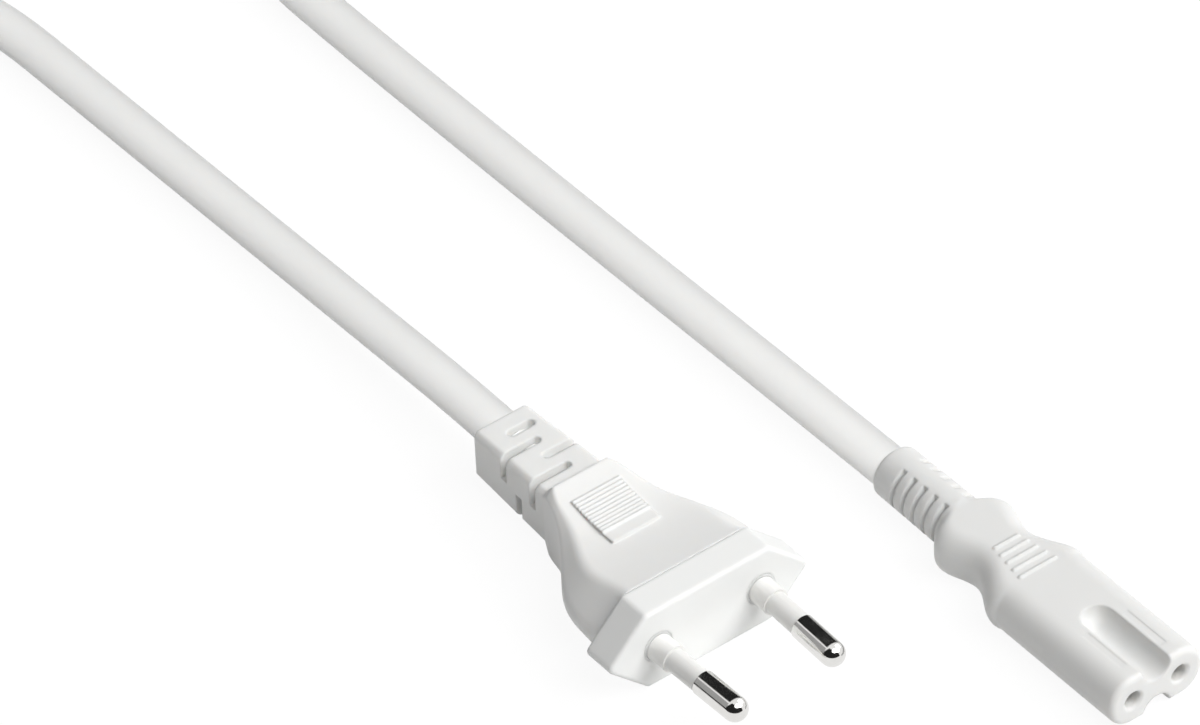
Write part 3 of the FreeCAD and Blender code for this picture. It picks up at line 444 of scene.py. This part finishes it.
def turnedMetal(name, look):
    # plated metal with faint turning lines round the pin and a few dull patches
    material, nodes, link, surface = newMaterial(name)
    where = nodes.new("ShaderNodeTexCoord")
    stretch = nodes.new("ShaderNodeMapping")
    lineLength = metalLook["lineLength"]
    stretch.inputs["Scale"].default_value = (look["lineScale"], lineLength, lineLength)
    link(where.outputs["Object"], stretch.inputs["Vector"])
    lines = nodes.new("ShaderNodeTexNoise")
    lines.inputs["Scale"].default_value = 1
    lines.inputs["Detail"].default_value = metalLook["lineDetail"]
    link(stretch.outputs["Vector"], lines.inputs["Vector"])
    patches = nodes.new("ShaderNodeTexNoise")
    patches.inputs["Scale"].default_value = metalLook["patchScale"]
    patches.inputs["Detail"].default_value = metalLook["patchDetail"]
    link(where.outputs["Object"], patches.inputs["Vector"])
    dull = nodes.new("ShaderNodeMapRange")
    dull.inputs["From Min"].default_value = metalLook["patchRange"][0]
    dull.inputs["From Max"].default_value = metalLook["patchRange"][1]
    dull.inputs["To Min"].default_value = look["roughness"]
    dull.inputs["To Max"].default_value = look["dullest"]
    link(patches.outputs["Fac"], dull.inputs["Value"])
    link(dull.outputs["Result"], surface.inputs["Roughness"])
    tint = nodes.new("ShaderNodeMix")
    tint.data_type = "RGBA"
    tint.inputs["A"].default_value = (*look["colour"], 1)
    tint.inputs["B"].default_value = (*look["tarnish"], 1)
    link(patches.outputs["Fac"], tint.inputs["Factor"])
    link(tint.outputs["Result"], surface.inputs["Base Color"])
    bump = nodes.new("ShaderNodeBump")
    bump.inputs["Strength"].default_value = metalLook["lineStrength"]
    bump.inputs["Distance"].default_value = metalLook["lineDepth"] * mm
    link(lines.outputs["Fac"], bump.inputs["Height"])
    link(bump.outputs["Normal"], surface.inputs["Normal"])
    surface.inputs["Metallic"].default_value = 1
    return material


metals = {
    "nickel": turnedMetal("nickel", {
        "colour": (0.8, 0.795, 0.78), "tarnish": (0.7, 0.69, 0.67), "roughness": 0.1, "dullest": 0.22,
        "lineScale": 5000,
    }),
    "contactBrass": turnedMetal("contactBrass", {
        "colour": (0.75, 0.62, 0.36), "tarnish": (0.6, 0.48, 0.27), "roughness": 0.22, "dullest": 0.4,
        "lineScale": 3000,
    }),
    "copperStrands": turnedMetal("copperStrands", {
        "colour": (0.72, 0.38, 0.24), "tarnish": (0.5, 0.24, 0.14), "roughness": 0.3, "dullest": 0.45,
        "lineScale": 900,
    }),
}

dressing = {
    "plug_moulding": plastics["softPvc"],
    "connector_moulding": plastics["connectorPvc"],
    "pin_carrier": plastics["hardBlock"],
    "contact_carrier": plastics["hardBlock"],
    "left_pin_sleeve": plastics["pinSleeve"],
    "right_pin_sleeve": plastics["pinSleeve"],
    "left_pin": metals["nickel"],
    "right_pin": metals["nickel"],
    "left_socket": metals["contactBrass"],
    "right_socket": metals["contactBrass"],
}
for end in ("plug", "connector"):
    dressing[end + "_live_core"] = plastics["coreBrown"]
    dressing[end + "_neutral_core"] = plastics["coreBlue"]
    dressing[end + "_live_strands"] = metals["copperStrands"]
    dressing[end + "_neutral_strands"] = metals["copperStrands"]


def dress(item, material):
    item.data.materials.clear()
    item.data.materials.append(material)


for node, material in dressing.items():
    dress(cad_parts[node], material)
dress(cord, plastics["jacketSkin"])
dress(tie, plastics["stripWhite"])
dress(lips, plastics["hardBlock"])
print("pieces dressed:", len(dressing) + 3)


# studio: white sweep, broad lamps from the right and above, one more for the cord, a little fill from the sky
studio = {
    "floorSize": 6.0,
    "floorDrop": 0.05,
    "floorPaper": (0.9, 0.9, 0.9),
    "floorGlow": 1.03,
    "shadowShare": 0.1,
    "skyFill": 0.15,
    "lamps": {
        "keyLamp": {"spot": (1.0, 0.73, 1.24), "size": 1.0, "power": 16, "cord": "EXCLUDE"},
        "sideLamp": {"spot": (0.12, 1.34, 1.12), "size": 1.0, "power": 9, "cord": "EXCLUDE"},
        "highLamp": {"spot": (0.93, 0, 1.48), "size": 1.0, "power": 13},
        "cordLamp": {"spot": (0.64, -0.37, 1.586), "size": 1.0, "power": 20, "cord": "INCLUDE"},
    },
}


def seenRays(nodes, link):
    # camera, glossy and transmitted rays see the bright sweep; the rest see plain light
    path = nodes.new("ShaderNodeLightPath")
    first = nodes.new("ShaderNodeMath")
    first.operation = "MAXIMUM"
    link(path.outputs["Is Camera Ray"], first.inputs[0])
    link(path.outputs["Is Glossy Ray"], first.inputs[1])
    both = nodes.new("ShaderNodeMath")
    both.operation = "MAXIMUM"
    link(first.outputs[0], both.inputs[0])
    link(path.outputs["Is Transmission Ray"], both.inputs[1])
    return both.outputs[0]


def makeFloor(look):
    mesh = bpy.data.meshes.new("paleFloor")
    bm = bmesh.new()
    bmesh.ops.create_grid(bm, x_segments=1, y_segments=1, size=look["floorSize"] / 2)
    bmesh.ops.translate(bm, vec=(0, 0, -look["floorDrop"] * mm), verts=bm.verts)
    bm.to_mesh(mesh)
    bm.free()
    floor = bpy.data.objects.new("paleFloor", mesh)
    scene.collection.objects.link(floor)
    material = bpy.data.materials.new("paleFloor")
    material.use_nodes = True
    nodes = material.node_tree.nodes
    link = material.node_tree.links.new
    nodes.clear()
    out = nodes.new("ShaderNodeOutputMaterial")
    paper = nodes.new("ShaderNodeBsdfDiffuse")
    paper.inputs["Color"].default_value = (*look["floorPaper"], 1)
    bright = nodes.new("ShaderNodeEmission")
    bright.inputs["Strength"].default_value = look["floorGlow"]
    share = nodes.new("ShaderNodeMath")
    share.operation = "MULTIPLY"
    share.inputs[1].default_value = 1 - look["shadowShare"]
    link(seenRays(nodes, link), share.inputs[0])
    mix = nodes.new("ShaderNodeMixShader")
    link(share.outputs[0], mix.inputs["Fac"])
    link(paper.outputs[0], mix.inputs[1])
    link(bright.outputs[0], mix.inputs[2])
    link(mix.outputs[0], out.inputs["Surface"])
    mesh.materials.append(material)


def makeSky(look):
    world = bpy.data.worlds.new("whiteSweep")
    scene.world = world
    world.use_nodes = True
    nodes = world.node_tree.nodes
    link = world.node_tree.links.new
    sky = nodes["Background"]
    level = nodes.new("ShaderNodeMapRange")
    level.inputs["To Min"].default_value = look["skyFill"]
    level.inputs["To Max"].default_value = 1
    link(seenRays(nodes, link), level.inputs["Value"])
    sky.inputs["Color"].default_value = (1, 1, 1, 1)
    link(level.outputs["Result"], sky.inputs["Strength"])


def addLamp(name, look):
    data = bpy.data.lights.new(name, "AREA")
    data.shape = "DISK"
    data.size = look["size"]
    data.energy = look["power"]
    lamp = bpy.data.objects.new(name, data)
    lamp.location = look["spot"]
    lamp.rotation_euler = (-Vector(look["spot"])).to_track_quat("-Z", "Y").to_euler()
    scene.collection.objects.link(lamp)
    if "cord" in look:  # the lamp leaves the cord out, or lights nothing else
        lit = bpy.data.collections.new(name + "Lit")
        lit.objects.link(cord)
        lit.collection_objects[0].light_linking.link_state = look["cord"]
        lamp.light_linking.receiver_collection = lit


# flags: curved screens that only the reflections show
pinFlagEdge = [(-1.26, 0, 1.2), (-0.56, 0, 1.2)]  # behind the plug, where the sides of the pins look
flagLook = {
    "steps": 24,
    "flags": {  # each edge is turned about its axis by from and swept by sweep, in degrees
        "darkFlag": {"axis": "X", "edge": pinFlagEdge, "from": -80, "sweep": 102, "glow": 0.02},
        "rightFlag": {"axis": "X", "edge": pinFlagEdge, "from": -90, "sweep": 10, "glow": 0.35},
        "greyFlag": {"axis": "X", "edge": pinFlagEdge, "from": 34, "sweep": 44, "glow": 0.4},
        "lineFlag": {"axis": "X", "edge": pinFlagEdge, "from": 78, "sweep": 11, "glow": 0.02},
        "leftFlag": {
            "axis": "Z", "edge": [(1.45, 0, 1.6), (0.6, 0, 2.2)], "from": -118, "sweep": 80, "glow": 0.02,
        },
        "frontFlag": {
            "axis": "Z", "edge": [(1.5, 0, 0.05), (1.5, 0, 1.75)], "from": -118, "sweep": 145, "glow": 0.02,
        },
    },
}


def addFlag(name, look, steps):
    mesh = bpy.data.meshes.new(name)
    bm = bmesh.new()
    ends = [bm.verts.new(spot) for spot in look["edge"]]
    edge = bm.edges.new(ends)
    turn = Matrix.Rotation(radians(look["from"]), 3, look["axis"])
    bmesh.ops.rotate(bm, cent=(0, 0, 0), matrix=turn, verts=ends)
    axis = (1, 0, 0) if look["axis"] == "X" else (0, 0, 1)
    bmesh.ops.spin(
        bm, geom=ends + [edge], cent=(0, 0, 0), axis=axis, angle=radians(look["sweep"]), steps=steps,
        use_merge=False,
    )
    bm.to_mesh(mesh)
    bm.free()
    flag = bpy.data.objects.new(name, mesh)
    scene.collection.objects.link(flag)
    material, nodes, link, surface = newMaterial(name)
    surface.inputs["Base Color"].default_value = (0, 0, 0, 1)
    surface.inputs["Roughness"].default_value = 1
    surface.inputs["Specular IOR Level"].default_value = 0
    surface.inputs["Emission Color"].default_value = (1, 1, 1, 1)
    surface.inputs["Emission Strength"].default_value = look["glow"]
    mesh.materials.append(material)
    flag.visible_camera = False
    flag.visible_diffuse = False
    flag.visible_shadow = False


makeFloor(studio)
makeSky(studio)
for name, look in studio["lamps"].items():
    addLamp(name, look)
for name, look in flagLook["flags"].items():
    addFlag(name, look, flagLook["steps"])
print("studio lit")

bpy.context.view_layer.update()
